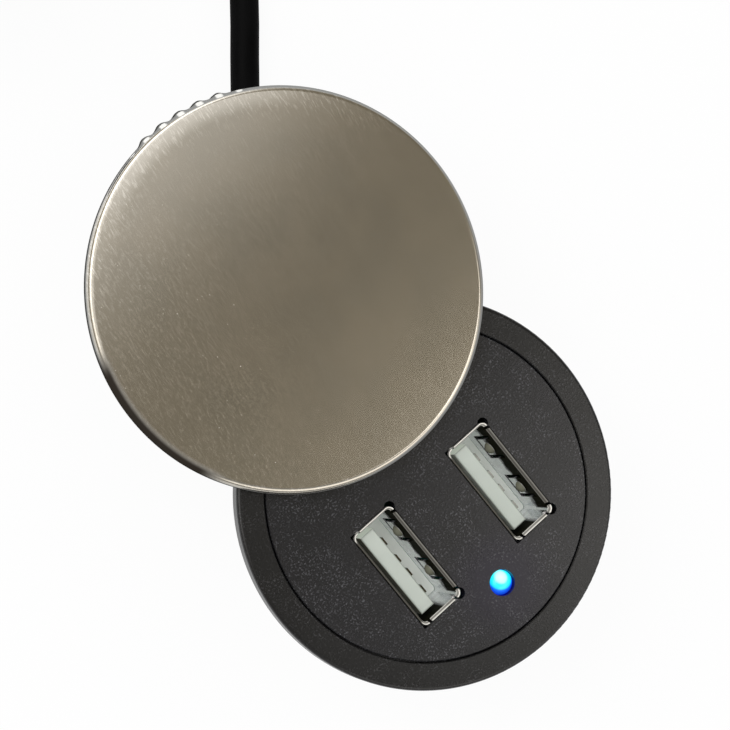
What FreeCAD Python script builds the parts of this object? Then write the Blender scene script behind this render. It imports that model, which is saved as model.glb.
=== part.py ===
import FreeCAD, Part
import math
import os
from FreeCAD import Placement, Rotation, Vector

# A round charger that sits in a hole in a desk: a black body with two charging ports and a light,
# closed by a metal cover that swivels aside on one screw. Its cord ends in a plug.
# Millimetres, +Z up. The origin is the centre of the base, the light is towards -Y
# and the cover's pivot towards +Y. The cover is modelled closed and then turned to its rest place.

# Body
body_height = 21.6
flange_radius = 22.0
flange_thickness = 2.2
flange_top_round = 0.45
flange_under_round = 0.3
barrel_radius = 17.0
barrel_wall = 1.4
barrel_foot_chamfer = 0.8
crush_rib_count = 8
crush_rib_height = 0.45
crush_rib_width = 0.8
crush_rib_first_azimuth = 7.5
crush_rib_start_z = 3.5
fit_gap = 0.1

# Port panel, a disc that drops into the flange
panel_radius = 18.75
panel_thickness = 1.4
panel_gap = 0.15
split_line_chamfer = 0.12
snap_azimuths = (20.0, 160.0, 250.0, 290.0)
snap_leg_width = 4.0
snap_leg_thickness = 1.0
snap_leg_length = 6.6
snap_hook_reach = 0.6
snap_hook_height = 1.2
snap_gap = 0.05

# Circuit board and its screws
board_radius = 15.3
board_thickness = 1.6
board_z = 6.4
board_boss_radius = 2.0
board_boss_places = ((9.8, 8.2), (-9.8, 8.2), (0.0, -6.5))
board_screw_length = 6.0
board_notch_width = 6.4
board_notch_radius = 13.0

# Charging ports
port_spacing = 14.4
port_y = -4.5
shell_width = 13.1
shell_depth = 5.7
shell_wall = 0.3
shell_corner = 0.7
shell_proud = 0.15
shell_flare = 0.2
shell_flare_depth = 0.5
shell_slit_width = 0.4
shell_slit_depth = 1.2
port_gap = 0.15
corner_relief_radius = 0.65
corner_relief_inset = 0.37
finger_y = 2.9
finger_width = 2.3
finger_root_depth = 1.5
finger_length = 4.4
finger_slot = 0.5
finger_bump_radius = 0.75
finger_bump_depth = 3.5
finger_bump_reach = 0.7
tongue_side_bump_reach = 0.5
cavity_depth = 8.2
tongue_thickness = 1.84
tongue_width = 11.1
tongue_offset = 0.6
tongue_recess = 1.2
tongue_tip_round = 0.23
contact_places = (-3.5, -1.0, 1.0, 3.5)
contact_width = 1.0
contact_thickness = 0.25
contact_tip_recess = 0.35

# Light
light_y = -13.3
light_radius = 1.4
light_height = 5.1
light_proud = 0.15
light_dome = 0.8
light_collar_radius = 1.9
light_collar_height = 1.0
light_hole_gap = 0.1
light_lead_spacing = 2.54
light_lead_width = 0.5

# Parts on the board
chip_size = (5.0, 4.0, 1.5)
chip_places = ((6.2, -3.6), (-6.2, -3.6))
resistor_size = (2.0, 1.25, 0.5)
resistor_places = ((2.6, 1.2), (-2.6, 1.2), (2.6, -1.6), (-2.6, -1.6))
capacitor_radius = 3.15
capacitor_height = 7.0
capacitor_top_round = 0.4
capacitor_foot_round = 0.3
capacitor_places = ((3.5, 6.6), (-3.5, 6.6))

# Base cap
base_thickness = 1.6
base_screw_azimuths = (10.0, 170.0, 270.0)
base_post_radius = 1.9
base_post_bite = 0.4
base_post_roof = 0.8
base_screw_length = 3.8
counterbore_depth = 1.0

# Screws: the radius of the shank and of the head, and the height of the head
screw_shank_radius = 0.8
screw_head_radius = 1.45
screw_head_height = 0.8
screw_recess_width = 0.35
screw_hole_gap = 0.05
screw_clearance = 0.15

# Swivelling cover
cover_radius = 22.3
cover_height = 2.2
cover_wall = 0.7
cover_edge_round = 0.7
cover_gap = 0.4
cover_boss_radius = 1.9
cover_open_angle = 172.9
cover_full_angle = 180.0
grip_rib_count = 5
grip_rib_pitch = 6.1
grip_rib_radius = 0.55
grip_rib_reach = 0.35
liner_thickness = 1.0
liner_screw_azimuths = (-10.0, 190.0, 270.0)
liner_screw_circle = 14.5
liner_screw_length = 1.2
liner_head_height = 0.5

# Pivot
pivot_y = 13.9
pivot_shoulder_radius = 1.5
pivot_thread_radius = 0.95
pivot_thread_length = 1.2
pivot_head_radius = 2.3
pivot_head_height = 1.2
pivot_running_gap = 0.05
bush_wall = 0.4
pivot_boss_wall = 0.5
pivot_boss_height = 3.0
pivot_pocket_gap = 0.1
spring_height = 0.5
spring_thickness = 0.2
washer_radius = 3.4
stop_pin_radius = 0.6
stop_pin_circle = 5.0
stop_pin_azimuth = -40.0
stop_pin_depth = 1.0
stop_groove_depth = 0.6
stop_groove_gap = 0.15

# Cord, its relief and its coil
cord_diameter = 3.5
cord_azimuth = 75.0
relief_wall_z = 4.4
relief_neck_radius = 1.5
relief_collar_radius = 2.6
relief_collar_thickness = 1.0
relief_collar_start = 0.5
relief_inner_radius = 1.9
relief_inner_end = -2.7
relief_inner_start = -1.9
relief_tip = 9.0
relief_tip_radius = 2.1
relief_root_radius = 2.35
relief_ring_count = 5
relief_ring_depth = 0.3
bend_share = 0.45
lead_route = (
    (10.1, 37.7, 1.75),
    (31.4, 62.2, 1.75),
    (33.6, 73.3, 1.75),
)
lead_last_run = 14.0
coil_centre = (4.6, 102.5)
coil_floor_gap = 0.65
coil_outer_radius = 24.1
coil_start_azimuth = 25.0
coil_half_turns = 5
coil_layers = 4
coil_pitch = 4.0
coil_layer_height = 4.0
tail_runs = ((8.5, 0.0), (8.5, 3.2), (8.5, 2.35), (8.5, 0.0))
tail_turn = 32.0
tie_azimuth = 120.0
tie_width = 5.0
tie_thickness = 0.6
tie_gap = 0.05

# Plug
plug_relief_length = 7.0
plug_relief_radius = 2.6
plug_body_size = (17.5, 15.4, 7.0)
plug_body_round = 1.6
plug_shell_size = (12.0, 12.0, 4.5)
plug_shell_wall = 0.3
plug_tongue_height = 1.9
plug_contact_recess = 0.8
plug_window_size = 2.3
plug_window_spacing = 4.6
plug_window_place = 5.0

# Leads inside the body
lead_radius = 0.55
lead_spacing = 1.6
lead_pad_radius = 9.6

UP = Vector(0, 0, 1)
panel_z = body_height - panel_thickness
recess_radius = panel_radius + panel_gap
flange_z = body_height - flange_thickness
bore_radius = barrel_radius - barrel_wall
board_top = board_z + board_thickness
mouth_z = body_height + shell_proud
cavity_z = mouth_z - cavity_depth
cover_z = body_height + cover_gap
cover_top = cover_z + cover_height
cover_inside_z = cover_top - cover_wall
cover_inner_radius = cover_radius - cover_wall
port_places = {"left": (-port_spacing / 2, port_y), "right": (port_spacing / 2, port_y)}
base_post_circle = bore_radius - base_post_radius + base_post_bite
hole_radius = screw_shank_radius + screw_hole_gap
passing_radius = screw_shank_radius + screw_clearance
bush_inner = pivot_shoulder_radius + pivot_running_gap
bush_outer = bush_inner + bush_wall
pivot_boss_radius = bush_outer + screw_hole_gap + pivot_boss_wall
pivot_pocket_radius = pivot_boss_radius + pivot_pocket_gap
pivot_boss_z = body_height - pivot_boss_height
pivot_head_top = pivot_boss_z - spring_height - pivot_running_gap


def cylinder(radius, bottom, top, x=0.0, y=0.0):
    return Part.makeCylinder(radius, top - bottom, Vector(x, y, bottom))


def ring(outer, inner, bottom, top, x=0.0, y=0.0):
    return cylinder(outer, bottom, top, x, y).cut(cylinder(inner, bottom, top, x, y))


def block(low, high):
    size = Vector(*high) - Vector(*low)
    return Part.makeBox(size.x, size.y, size.z, Vector(*low))


def centred(length, width, height, x=0.0, y=0.0, z=0.0):
    """A box with its middle at x and y and its underside at z."""
    return Part.makeBox(length, width, height, Vector(x - length / 2, y - width / 2, z))


def polar(radius, azimuth):
    angle = math.radians(azimuth)
    return radius * math.cos(angle), radius * math.sin(angle)


def turned(shape, azimuth, x=0.0, y=0.0):
    """The shape turned about a vertical line through x and y."""
    copy = shape.copy()
    copy.rotate(Vector(x, y, 0), UP, azimuth)
    return copy


def joined(shapes):
    """One solid, or a group of separate ones where they don't touch."""
    first, *rest = shapes
    return first.fuse(rest).removeSplitter() if rest else first


def group(shapes):
    return Part.makeCompound(shapes)


def revolved(profile):
    """A solid of revolution about Z. A profile is points (radius, z); a point of four numbers
    reaches its last two along an arc through its first two."""
    corners = [Vector(point[-2], 0, point[-1]) for point in profile]
    edges = []
    for index, point in enumerate(profile):
        start = corners[index - 1]
        end = corners[index]
        if len(point) == 4:
            edges.append(Part.Arc(start, Vector(point[0], 0, point[1]), end).toShape())
        elif (end - start).Length > 1e-6:
            edges.append(Part.LineSegment(start, end).toShape())
    return Part.Face(Part.Wire(edges)).revolve(Vector(0, 0, 0), UP, 360)


def rounded_disc(radius, bottom, top, top_round, bottom_round):
    """A disc with quarter rounds at its top and bottom edges."""
    inset = 1 - math.sqrt(0.5)
    return revolved([
        (0, bottom),
        (radius - bottom_round, bottom),
        (radius - bottom_round * inset, bottom + bottom_round * inset, radius, bottom + bottom_round),
        (radius, top - top_round),
        (radius - top_round * inset, top - top_round * inset, radius - top_round, top),
        (0, top),
    ])


def rounded_box(length, width, height, corner, x=0.0, y=0.0, z=0.0):
    """A box with its four upright edges rounded."""
    box = centred(length, width, height, x, y, z)
    upright = [edge for edge in box.Edges if abs(edge.tangentAt(edge.FirstParameter).z) > 0.99]
    return box.makeFillet(corner, upright)


def aimed(shape, place, direction):
    """A shape that points up from the origin, moved to a place and pointed along a direction."""
    copy = shape.copy()
    copy.Placement = Placement(place, Rotation(UP, direction)).multiply(copy.Placement)
    return copy


def screw(x, y, seat_z, length, head_height=screw_head_height):
    """A pan head screw that goes up from below: the head hangs under its seat and has a cross recess."""
    head = cylinder(screw_head_radius, seat_z - head_height, seat_z, x, y)
    shank = cylinder(screw_shank_radius, seat_z, seat_z + length, x, y)
    slot_depth = head_height / 2
    slot = centred(screw_head_radius * 1.2, screw_recess_width, slot_depth, x, y, seat_z - head_height)
    return head.fuse(shank).cut(slot).cut(turned(slot, 90, x, y))


def base_screw_places():
    return [polar(base_post_circle, azimuth) for azimuth in base_screw_azimuths]


def relief_axis():
    """Where the cord's relief crosses the outside of the barrel, and the way that it points."""
    x, y = polar(barrel_radius, cord_azimuth)
    start = Vector(x, y, relief_wall_z)
    return start, (Vector(*lead_route[0]) - start).normalize()


def crush_ribs():
    rib = block(
        (barrel_radius - fit_gap, -crush_rib_width / 2, crush_rib_start_z),
        (barrel_radius + crush_rib_height, crush_rib_width / 2, flange_z + flange_thickness / 2),
    )
    lead_in = [
        edge for edge in rib.Edges
        if all(v.X > barrel_radius and v.Z < flange_z for v in edge.Vertexes)
    ]
    rib = rib.makeChamfer(crush_rib_height, lead_in)
    step = 360 / crush_rib_count
    return [turned(rib, crush_rib_first_azimuth + index * step) for index in range(crush_rib_count)]


def relief_slot():
    """The slot at the foot of the barrel that the relief's neck drops into, round at its top."""
    start, direction = relief_axis()
    radius = relief_neck_radius + fit_gap
    across = UP.cross(direction).normalize()
    upward = direction.cross(across)
    inside = start - direction * (2 * barrel_wall)
    down = upward * (-relief_wall_z - 1)
    left = inside - across * radius
    right = inside + across * radius
    outline = Part.Wire([
        Part.LineSegment(left + down, left).toShape(),
        Part.Arc(left, inside + upward * radius, right).toShape(),
        Part.LineSegment(right, right + down).toShape(),
        Part.LineSegment(right + down, left + down).toShape(),
    ])
    return Part.Face(outline).extrude(direction * (2 * barrel_wall + 1))


def snap_pocket(azimuth):
    """The pocket in the barrel's bore that a hook of the panel springs into."""
    hook_z = panel_z - snap_leg_length
    pocket = block(
        (bore_radius - barrel_wall, -snap_leg_width / 2 - fit_gap, hook_z - 3 * fit_gap),
        (
            bore_radius + snap_hook_reach - fit_gap,
            snap_leg_width / 2 + fit_gap,
            hook_z + snap_hook_height + snap_gap,
        ),
    )
    return turned(pocket, azimuth)


def housing():
    flange = rounded_disc(flange_radius, flange_z, body_height, flange_top_round, flange_under_round)
    barrel = revolved([
        (0, 0),
        (barrel_radius - barrel_foot_chamfer, 0),
        (barrel_radius, barrel_foot_chamfer),
        (barrel_radius, flange_z + flange_thickness / 2),
        (0, flange_z + flange_thickness / 2),
    ])
    outside = joined([flange, barrel] + crush_ribs())
    mouth = revolved([
        (0, body_height - split_line_chamfer),
        (recess_radius, body_height - split_line_chamfer),
        (recess_radius + split_line_chamfer, body_height),
        (0, body_height),
    ])
    hollow = joined([cylinder(bore_radius, 0, panel_z), cylinder(recess_radius, panel_z, body_height), mouth])
    shell = outside.cut(hollow)
    posts = [
        cylinder(base_post_radius, base_thickness, board_z, x, y).cut(
            cylinder(hole_radius, base_thickness, board_z - base_post_roof, x, y)
        )
        for x, y in base_screw_places()
    ]
    shell = joined([shell] + posts)
    pocket = cylinder(
        pivot_pocket_radius, pivot_head_top - pivot_head_height - 2 * pivot_pocket_gap, panel_z, 0, pivot_y
    )
    cuts = [pocket, relief_slot()] + [snap_pocket(azimuth) for azimuth in snap_azimuths]
    for cut in cuts:
        shell = shell.cut(cut)
    return shell


def snap_leg(azimuth):
    """A springy leg under the panel with a hook at its foot."""
    outer = bore_radius - snap_hook_reach / 2 + fit_gap / 2
    foot = panel_z - snap_leg_length
    profile = [
        Vector(outer - snap_leg_thickness, 0, panel_z + fit_gap),
        Vector(outer - snap_leg_thickness, 0, foot),
        Vector(outer, 0, foot),
        Vector(outer + snap_hook_reach, 0, foot + snap_hook_height / 2),
        Vector(outer + snap_hook_reach, 0, foot + snap_hook_height),
        Vector(outer, 0, foot + snap_hook_height),
        Vector(outer, 0, panel_z + fit_gap),
    ]
    face = Part.Face(Part.makePolygon(profile + profile[:1]))
    leg = face.extrude(Vector(0, snap_leg_width, 0))
    leg.translate(Vector(0, -snap_leg_width / 2, 0))
    return turned(leg, azimuth)


def port_opening(x, y):
    """The hole in the panel round a port's shell, relieved at its outer corners."""
    depth = shell_depth + 2 * port_gap
    width = shell_width + 2 * port_gap
    opening = centred(depth, width, panel_thickness, x, y, panel_z)
    relief_x = x + depth / 2 - corner_relief_inset
    reach = width / 2 - corner_relief_inset
    reliefs = [
        cylinder(corner_relief_radius, panel_z, body_height, relief_x, y + end * reach) for end in (-1, 1)
    ]
    return opening.fuse(reliefs)


def stop_pin_place():
    dx, dy = polar(stop_pin_circle, stop_pin_azimuth)
    return dx, pivot_y + dy


def port_panel():
    disc = revolved([
        (0, panel_z),
        (panel_radius, panel_z),
        (panel_radius, body_height - split_line_chamfer),
        (panel_radius - split_line_chamfer, body_height),
        (0, body_height),
    ])
    bosses = [
        cylinder(board_boss_radius, board_top, panel_z + fit_gap, x, y) for x, y in board_boss_places
    ]
    pivot_boss = cylinder(pivot_boss_radius, pivot_boss_z, panel_z + fit_gap, 0, pivot_y)
    legs = [snap_leg(azimuth) for azimuth in snap_azimuths]
    panel = joined([disc, pivot_boss] + bosses + legs)
    holes = [port_opening(x, y) for x, y in port_places.values()]
    holes += [cylinder(hole_radius, board_top, board_z + board_screw_length, x, y) for x, y in board_boss_places]
    holes.append(cylinder(bush_outer + screw_hole_gap, pivot_boss_z, body_height, 0, pivot_y))
    holes.append(cylinder(light_radius + light_hole_gap, panel_z, body_height, 0, light_y))
    pin_x, pin_y = stop_pin_place()
    holes.append(
        cylinder(stop_pin_radius + screw_hole_gap, body_height - stop_pin_depth, body_height, pin_x, pin_y)
    )
    for hole in holes:
        panel = panel.cut(hole)
    return panel


def base_cap():
    """The plate that closes the barrel, with a tab that fills the slot under the cord's relief."""
    plate = cylinder(bore_radius - fit_gap, 0, base_thickness)
    start, direction = relief_axis()
    tab_top = relief_wall_z - (relief_neck_radius + 2 * fit_gap) / direction.dot(
        Vector(direction.x, direction.y, 0).normalize()
    )
    half = relief_neck_radius
    tab = block((bore_radius - barrel_wall, -half, 0), (barrel_radius - barrel_foot_chamfer, half, tab_top))
    cap = plate.fuse(turned(tab, cord_azimuth))
    for x, y in base_screw_places():
        cap = cap.cut(cylinder(screw_head_radius + screw_clearance, 0, counterbore_depth, x, y))
        cap = cap.cut(cylinder(passing_radius, 0, base_thickness, x, y))
    return cap.removeSplitter()


def base_screws():
    return group([screw(x, y, counterbore_depth, base_screw_length) for x, y in base_screw_places()])


def board_screws():
    return group([screw(x, y, board_z, board_screw_length - fit_gap) for x, y in board_boss_places])


def circuit_board():
    board = cylinder(board_radius, board_z, board_top)
    for x, y in board_boss_places:
        board = board.cut(cylinder(passing_radius, board_z, board_top, x, y))
    notch = block((board_notch_radius, -board_notch_width / 2, board_z), (board_radius + 1, board_notch_width / 2, board_top))
    return board.cut(turned(notch, cord_azimuth))


def across_wall(side, x_span, y_span, z_span):
    """A box with its x span counted from the middle of the port towards one side, 1 for +X."""
    low, high = sorted(side * x for x in x_span)
    return block((low, y_span[0], z_span[0]), (high, y_span[1], z_span[1]))


def finger_slot_cut(side, y):
    """The slot round a spring finger in a long wall of the shell."""
    half = finger_width / 2 + finger_slot
    top = mouth_z - finger_root_depth
    walls = (shell_depth / 2 - 2 * shell_wall, shell_depth / 2 + shell_wall)
    return across_wall(side, walls, (y - half, y + half), (top - finger_length - finger_slot, top))


def finger(side, y):
    """A spring finger that hangs from the mouth side of its slot, with a round bump halfway down. It
    reaches in less far on the tongue's side."""
    outer = shell_depth / 2
    inner = outer - shell_wall
    top = mouth_z - finger_root_depth
    bottom = top - finger_length
    half = finger_width / 2
    strip = across_wall(side, (inner, outer), (y - half, y + half), (bottom, top + fit_gap))
    reach = finger_bump_reach if side > 0 else tongue_side_bump_reach
    middle = inner + finger_bump_radius - reach
    bump = Part.makeSphere(finger_bump_radius, Vector(side * middle, y, mouth_z - finger_bump_depth))
    inside = across_wall(side, (0, inner + shell_wall / 2), (y - half, y + half), (bottom, top))
    return strip.fuse(bump.common(inside))


def mouth_flare():
    """What widens the mouth of a port's shell, so that its walls thin out to their edge."""
    outlines = []
    for spread, z in ((0, mouth_z - shell_flare_depth), (shell_flare, mouth_z)):
        inset = 2 * (spread - shell_wall)
        prism = rounded_box(
            shell_depth + inset, shell_width + inset, panel_thickness, shell_corner - shell_wall + spread, 0, 0, z
        )
        foot = min(prism.Faces, key=lambda face: face.CenterOfMass.z)
        outlines.append(foot.OuterWire)
    return Part.makeLoft(outlines, True, True)


def usb_shell(x, y):
    """The folded steel shell of a port: an open tube with spring fingers and a flared mouth, slit
    beside its corners."""
    height = mouth_z - board_top
    outside = rounded_box(shell_depth, shell_width, height, shell_corner, 0, 0, board_top)
    inside = rounded_box(
        shell_depth - 2 * shell_wall, shell_width - 2 * shell_wall, height, shell_corner - shell_wall, 0, 0, board_top
    )
    shell = outside.cut(inside)
    for side in (-1, 1):
        for place in (-finger_y, finger_y):
            shell = shell.cut(finger_slot_cut(side, place))
            shell = shell.fuse(finger(side, place))
    beside_corner = shell_corner + shell_slit_width / 2
    slit_z = mouth_z - shell_slit_depth
    for end in (-1, 1):
        long_side = ((shell_depth - shell_wall) / 2, end * (shell_width / 2 - beside_corner))
        shell = shell.cut(centred(3 * shell_wall, shell_slit_width, shell_slit_depth, *long_side, slit_z))
    for across, end in ((-1, -1), (1, -1), (-1, 1)):
        short_side = (across * (shell_depth / 2 - beside_corner), end * (shell_width - shell_wall) / 2)
        shell = shell.cut(centred(shell_slit_width, 3 * shell_wall, shell_slit_depth, *short_side, slit_z))
    shell = shell.cut(mouth_flare()).removeSplitter()
    shell.translate(Vector(x, y, 0))
    return shell


def tongue_face():
    """The tongue's +X face, counted from the middle of the port."""
    return -shell_depth / 2 + shell_wall + tongue_offset + tongue_thickness


def usb_insulator(x, y):
    """The moulded block at the back of a port and the tongue that carries its contacts."""
    fit = fit_gap / 2
    inner = shell_depth / 2 - shell_wall - fit
    base = rounded_box(
        2 * inner, shell_width - 2 * shell_wall - 2 * fit, cavity_z - board_top, shell_corner - shell_wall,
        0, 0, board_top,
    )
    face = tongue_face()
    tongue = block(
        (face - tongue_thickness, -tongue_width / 2, cavity_z - fit_gap),
        (face, tongue_width / 2, mouth_z - tongue_recess),
    )
    tip = [
        edge for edge in tongue.Edges
        if all(v.Z > mouth_z - tongue_recess - fit_gap for v in edge.Vertexes)
    ]
    tongue = tongue.makeFillet(tongue_tip_round, tip)
    block_and_tongue = base.fuse(tongue)
    for place in contact_places:
        channel = block(
            (face, place - contact_width / 2 - fit, board_top),
            (face + contact_thickness + fit, place + contact_width / 2 + fit, cavity_z),
        )
        block_and_tongue = block_and_tongue.cut(channel)
    block_and_tongue.translate(Vector(x, y, 0))
    return block_and_tongue


def usb_contacts(x, y):
    """Four flat contacts that stand on the board and lie along the tongue."""
    face = tongue_face()
    strips = [
        block(
            (face, place - contact_width / 2, board_top),
            (face + contact_thickness, place + contact_width / 2, mouth_z - tongue_recess - contact_tip_recess),
        )
        for place in contact_places
    ]
    contacts = group(strips)
    contacts.translate(Vector(x, y, 0))
    return contacts


def light_lens():
    """A round light with a domed tip and a collar under the panel."""
    top = body_height + light_proud
    bottom = top - light_height
    stem = cylinder(light_radius, bottom, top)
    sphere_radius = (light_radius ** 2 + light_dome ** 2) / (2 * light_dome)
    domed = stem.common(Part.makeSphere(sphere_radius, Vector(0, 0, top - sphere_radius)))
    collar = cylinder(light_collar_radius, bottom, bottom + light_collar_height)
    lens = joined([collar, cylinder(light_radius, bottom, top - light_dome), domed])
    lens.translate(Vector(0, light_y, 0))
    return lens


def light_leads():
    bottom = body_height + light_proud - light_height
    return group([
        centred(light_lead_width, light_lead_width, bottom - board_top, side * light_lead_spacing / 2, light_y, board_top)
        for side in (-1, 1)
    ])


def board_chips(size, places):
    """Flat chips soldered under the board."""
    return group([centred(*size, x, y, board_z - size[2]) for x, y in places])


def input_capacitors():
    cans = []
    for x, y in capacitor_places:
        top = board_top + capacitor_height
        can = rounded_disc(capacitor_radius, board_top, top, capacitor_top_round, capacitor_foot_round)
        can.translate(Vector(x, y, 0))
        cans.append(can)
    return group(cans)


def stop_pin():
    x, y = stop_pin_place()
    top = cover_z + stop_groove_depth - stop_groove_gap
    return cylinder(stop_pin_radius, body_height - stop_pin_depth, top, x, y)


def pivot_bush():
    return ring(bush_outer, bush_inner, pivot_boss_z, body_height, 0, pivot_y)


def friction_washer():
    """The slippery washer that carries the cover just clear of the panel."""
    return ring(washer_radius, bush_inner, body_height, cover_z - pivot_running_gap, 0, pivot_y)


def spring_washer():
    """A conical spring washer between the pivot screw's head and the panel's boss."""
    inner = bush_inner
    outer = pivot_head_radius - fit_gap
    low = pivot_head_top
    washer = revolved([
        (inner, low + spring_height - spring_thickness),
        (outer, low),
        (outer, low + spring_thickness),
        (inner, low + spring_height),
    ])
    washer.translate(Vector(0, pivot_y, 0))
    return washer


def pivot_screw():
    """The shoulder screw that the cover turns on, driven up into the liner from below."""
    head = cylinder(pivot_head_radius, pivot_head_top - pivot_head_height, pivot_head_top, 0, pivot_y)
    shoulder = cylinder(pivot_shoulder_radius, pivot_head_top, cover_z, 0, pivot_y)
    thread = cylinder(pivot_thread_radius, cover_z, cover_z + pivot_thread_length, 0, pivot_y)
    slot = centred(
        2 * pivot_head_radius, 2 * screw_recess_width, pivot_head_height / 2,
        0, pivot_y, pivot_head_top - pivot_head_height,
    )
    return head.fuse([shoulder, thread]).cut(slot)


def grip_ribs():
    """The finger ribs on the edge of the cover, opposite the pivot."""
    radius = cover_radius + grip_rib_reach - grip_rib_radius
    top = cover_top - cover_edge_round - grip_rib_radius / 2
    rib = cylinder(grip_rib_radius, cover_z, top, radius, 0)
    cap = Part.makeSphere(grip_rib_radius, Vector(radius, 0, top))
    rib = rib.fuse(cap).common(cylinder(grip_rib_radius, cover_z, cover_top - cover_edge_round / 2, radius, 0))
    first = -90 - grip_rib_pitch * (grip_rib_count - 1) / 2
    return [turned(rib, first + index * grip_rib_pitch) for index in range(grip_rib_count)]


def liner_screw_places():
    return [polar(liner_screw_circle, azimuth) for azimuth in liner_screw_azimuths]


def cover_cap():
    """The metal cap of the cover, an upturned dish with bosses for the liner's screws."""
    dish = rounded_disc(cover_radius, cover_z, cover_top, cover_edge_round, cover_edge_round / 2)
    dish = joined([dish] + grip_ribs())
    dish = dish.cut(cylinder(cover_inner_radius, cover_z, cover_inside_z))
    bosses = [
        cylinder(cover_boss_radius, cover_z + liner_thickness, cover_inside_z + fit_gap, x, y)
        for x, y in liner_screw_places()
    ]
    dish = joined([dish] + bosses)
    for x, y in liner_screw_places():
        top = cover_z + liner_head_height + liner_screw_length + fit_gap
        dish = dish.cut(cylinder(hole_radius, cover_z, top, x, y))
    return dish


def stop_groove():
    """The arc in the liner that the stop pin runs in, from the closed place to the fully open one."""
    half = stop_pin_radius + stop_groove_gap
    low = Vector(stop_pin_circle - half, 0, cover_z)
    corners = [
        low,
        low + Vector(2 * half, 0, 0),
        low + Vector(2 * half, 0, stop_groove_depth),
        low + Vector(0, 0, stop_groove_depth),
    ]
    face = Part.Face(Part.makePolygon(corners + corners[:1]))
    arc = face.revolve(Vector(0, 0, 0), UP, cover_full_angle)
    ends = [
        turned(cylinder(half, cover_z, cover_z + stop_groove_depth, stop_pin_circle, 0), azimuth)
        for azimuth in (0, cover_full_angle)
    ]
    groove = arc.fuse(ends)
    groove = turned(groove, stop_pin_azimuth - cover_full_angle)
    groove.translate(Vector(0, pivot_y, 0))
    return groove


def cover_liner():
    """The plastic plate under the cap, with the pivot's threaded boss and the stop groove."""
    plate = cylinder(cover_inner_radius - fit_gap, cover_z, cover_z + liner_thickness)
    boss = cylinder(pivot_thread_radius + 2 * pivot_boss_wall, cover_z, cover_inside_z, 0, pivot_y)
    liner = plate.fuse(boss).cut(stop_groove())
    thread_top = cover_z + pivot_thread_length + fit_gap
    liner = liner.cut(cylinder(pivot_thread_radius + screw_hole_gap, cover_z, thread_top, 0, pivot_y))
    for x, y in liner_screw_places():
        head = cylinder(screw_head_radius + screw_clearance, cover_z, cover_z + liner_head_height, x, y)
        liner = liner.cut(head)
        liner = liner.cut(cylinder(passing_radius, cover_z, cover_z + liner_thickness, x, y))
    return liner.removeSplitter()


def liner_screws():
    return group([
        screw(x, y, cover_z + liner_head_height, liner_screw_length, liner_head_height)
        for x, y in liner_screw_places()
    ])


def opened(shape):
    """A piece of the cover, turned from its closed place to where it rests."""
    return turned(shape, cover_open_angle, 0, pivot_y)


def cord_relief():
    """The ribbed rubber relief on the cord, with a neck that sits in the barrel's slot."""
    start, direction = relief_axis()
    tail_start = relief_collar_start + relief_collar_thickness
    tail = relief_tip - tail_start
    ring_pitch = tail / (relief_ring_count + 0.5)
    profile = [
        (0, relief_inner_end),
        (relief_inner_radius, relief_inner_end),
        (relief_inner_radius, relief_inner_start),
        (relief_neck_radius, relief_inner_start),
        (relief_neck_radius, relief_collar_start),
        (relief_collar_radius, relief_collar_start),
        (relief_collar_radius, tail_start),
    ]
    for index in range(relief_ring_count):
        low = tail_start + (index + 0.5) * ring_pitch
        outer = relief_root_radius + (relief_tip_radius - relief_root_radius) * (index + 0.5) / relief_ring_count
        profile += [
            (outer, low - ring_pitch / 2),
            (outer, low),
            (outer - relief_ring_depth, low),
            (outer - relief_ring_depth, low + ring_pitch / 2),
        ]
    profile += [(relief_tip_radius, relief_tip - ring_pitch / 2), (relief_tip_radius, relief_tip), (0, relief_tip)]
    return aimed(revolved(profile), start, direction)


def power_lead(side):
    """One insulated lead from the relief's inner end, inwards and then up to the board."""
    start, direction = relief_axis()
    outward = Vector(*polar(1, cord_azimuth), 0)
    first = start + direction * relief_inner_end + UP.cross(outward) * side * lead_spacing / 2
    inward = (first.dot(outward) - lead_pad_radius) / direction.dot(outward)
    corner = first - direction * inward
    top = Vector(corner.x, corner.y, board_z)
    return bent_tube([first, corner, top], lead_radius)


def swept(path, radius, start, direction):
    """A solid round tube along a smooth path."""
    section = Part.Wire([Part.makeCircle(radius, start, direction)])
    tube = path.makePipeShell([section], True, False)
    expected = math.pi * radius * radius * path.Length
    print(f"tube of {path.Length:.1f} mm: volume {tube.Volume:.1f}, section x length {expected:.1f}")
    return tube


def bent_tube(points, radius):
    """A tube along straight runs joined by tangent arcs as large as the runs allow."""
    edges = []
    start = points[0]
    for before, corner, after in zip(points, points[1:], points[2:]):
        into = (corner - before).normalize()
        out = (after - corner).normalize()
        half_turn = into.getAngle(out) / 2
        reach = bend_share * min((corner - before).Length, (after - corner).Length)
        bend = reach / math.tan(half_turn)
        print(f"  bend at ({corner.x:.1f}, {corner.y:.1f}): radius {bend:.1f}, turn {math.degrees(2 * half_turn):.0f}")
        inward = (out - into).normalize()
        middle = corner + inward * (bend / math.cos(half_turn) - bend)
        arc_start = corner - into * reach
        arc_end = corner + out * reach
        edges.append(Part.LineSegment(start, arc_start).toShape())
        edges.append(Part.Arc(arc_start, middle, arc_end).toShape())
        start = arc_end
    edges.append(Part.LineSegment(start, points[-1]).toShape())
    return swept(Part.Wire(edges), radius, points[0], points[1] - points[0])


def heading(azimuth):
    """The level direction of a turn at an azimuth of the coil."""
    return Vector(*polar(1, azimuth + 90), 0)


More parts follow.
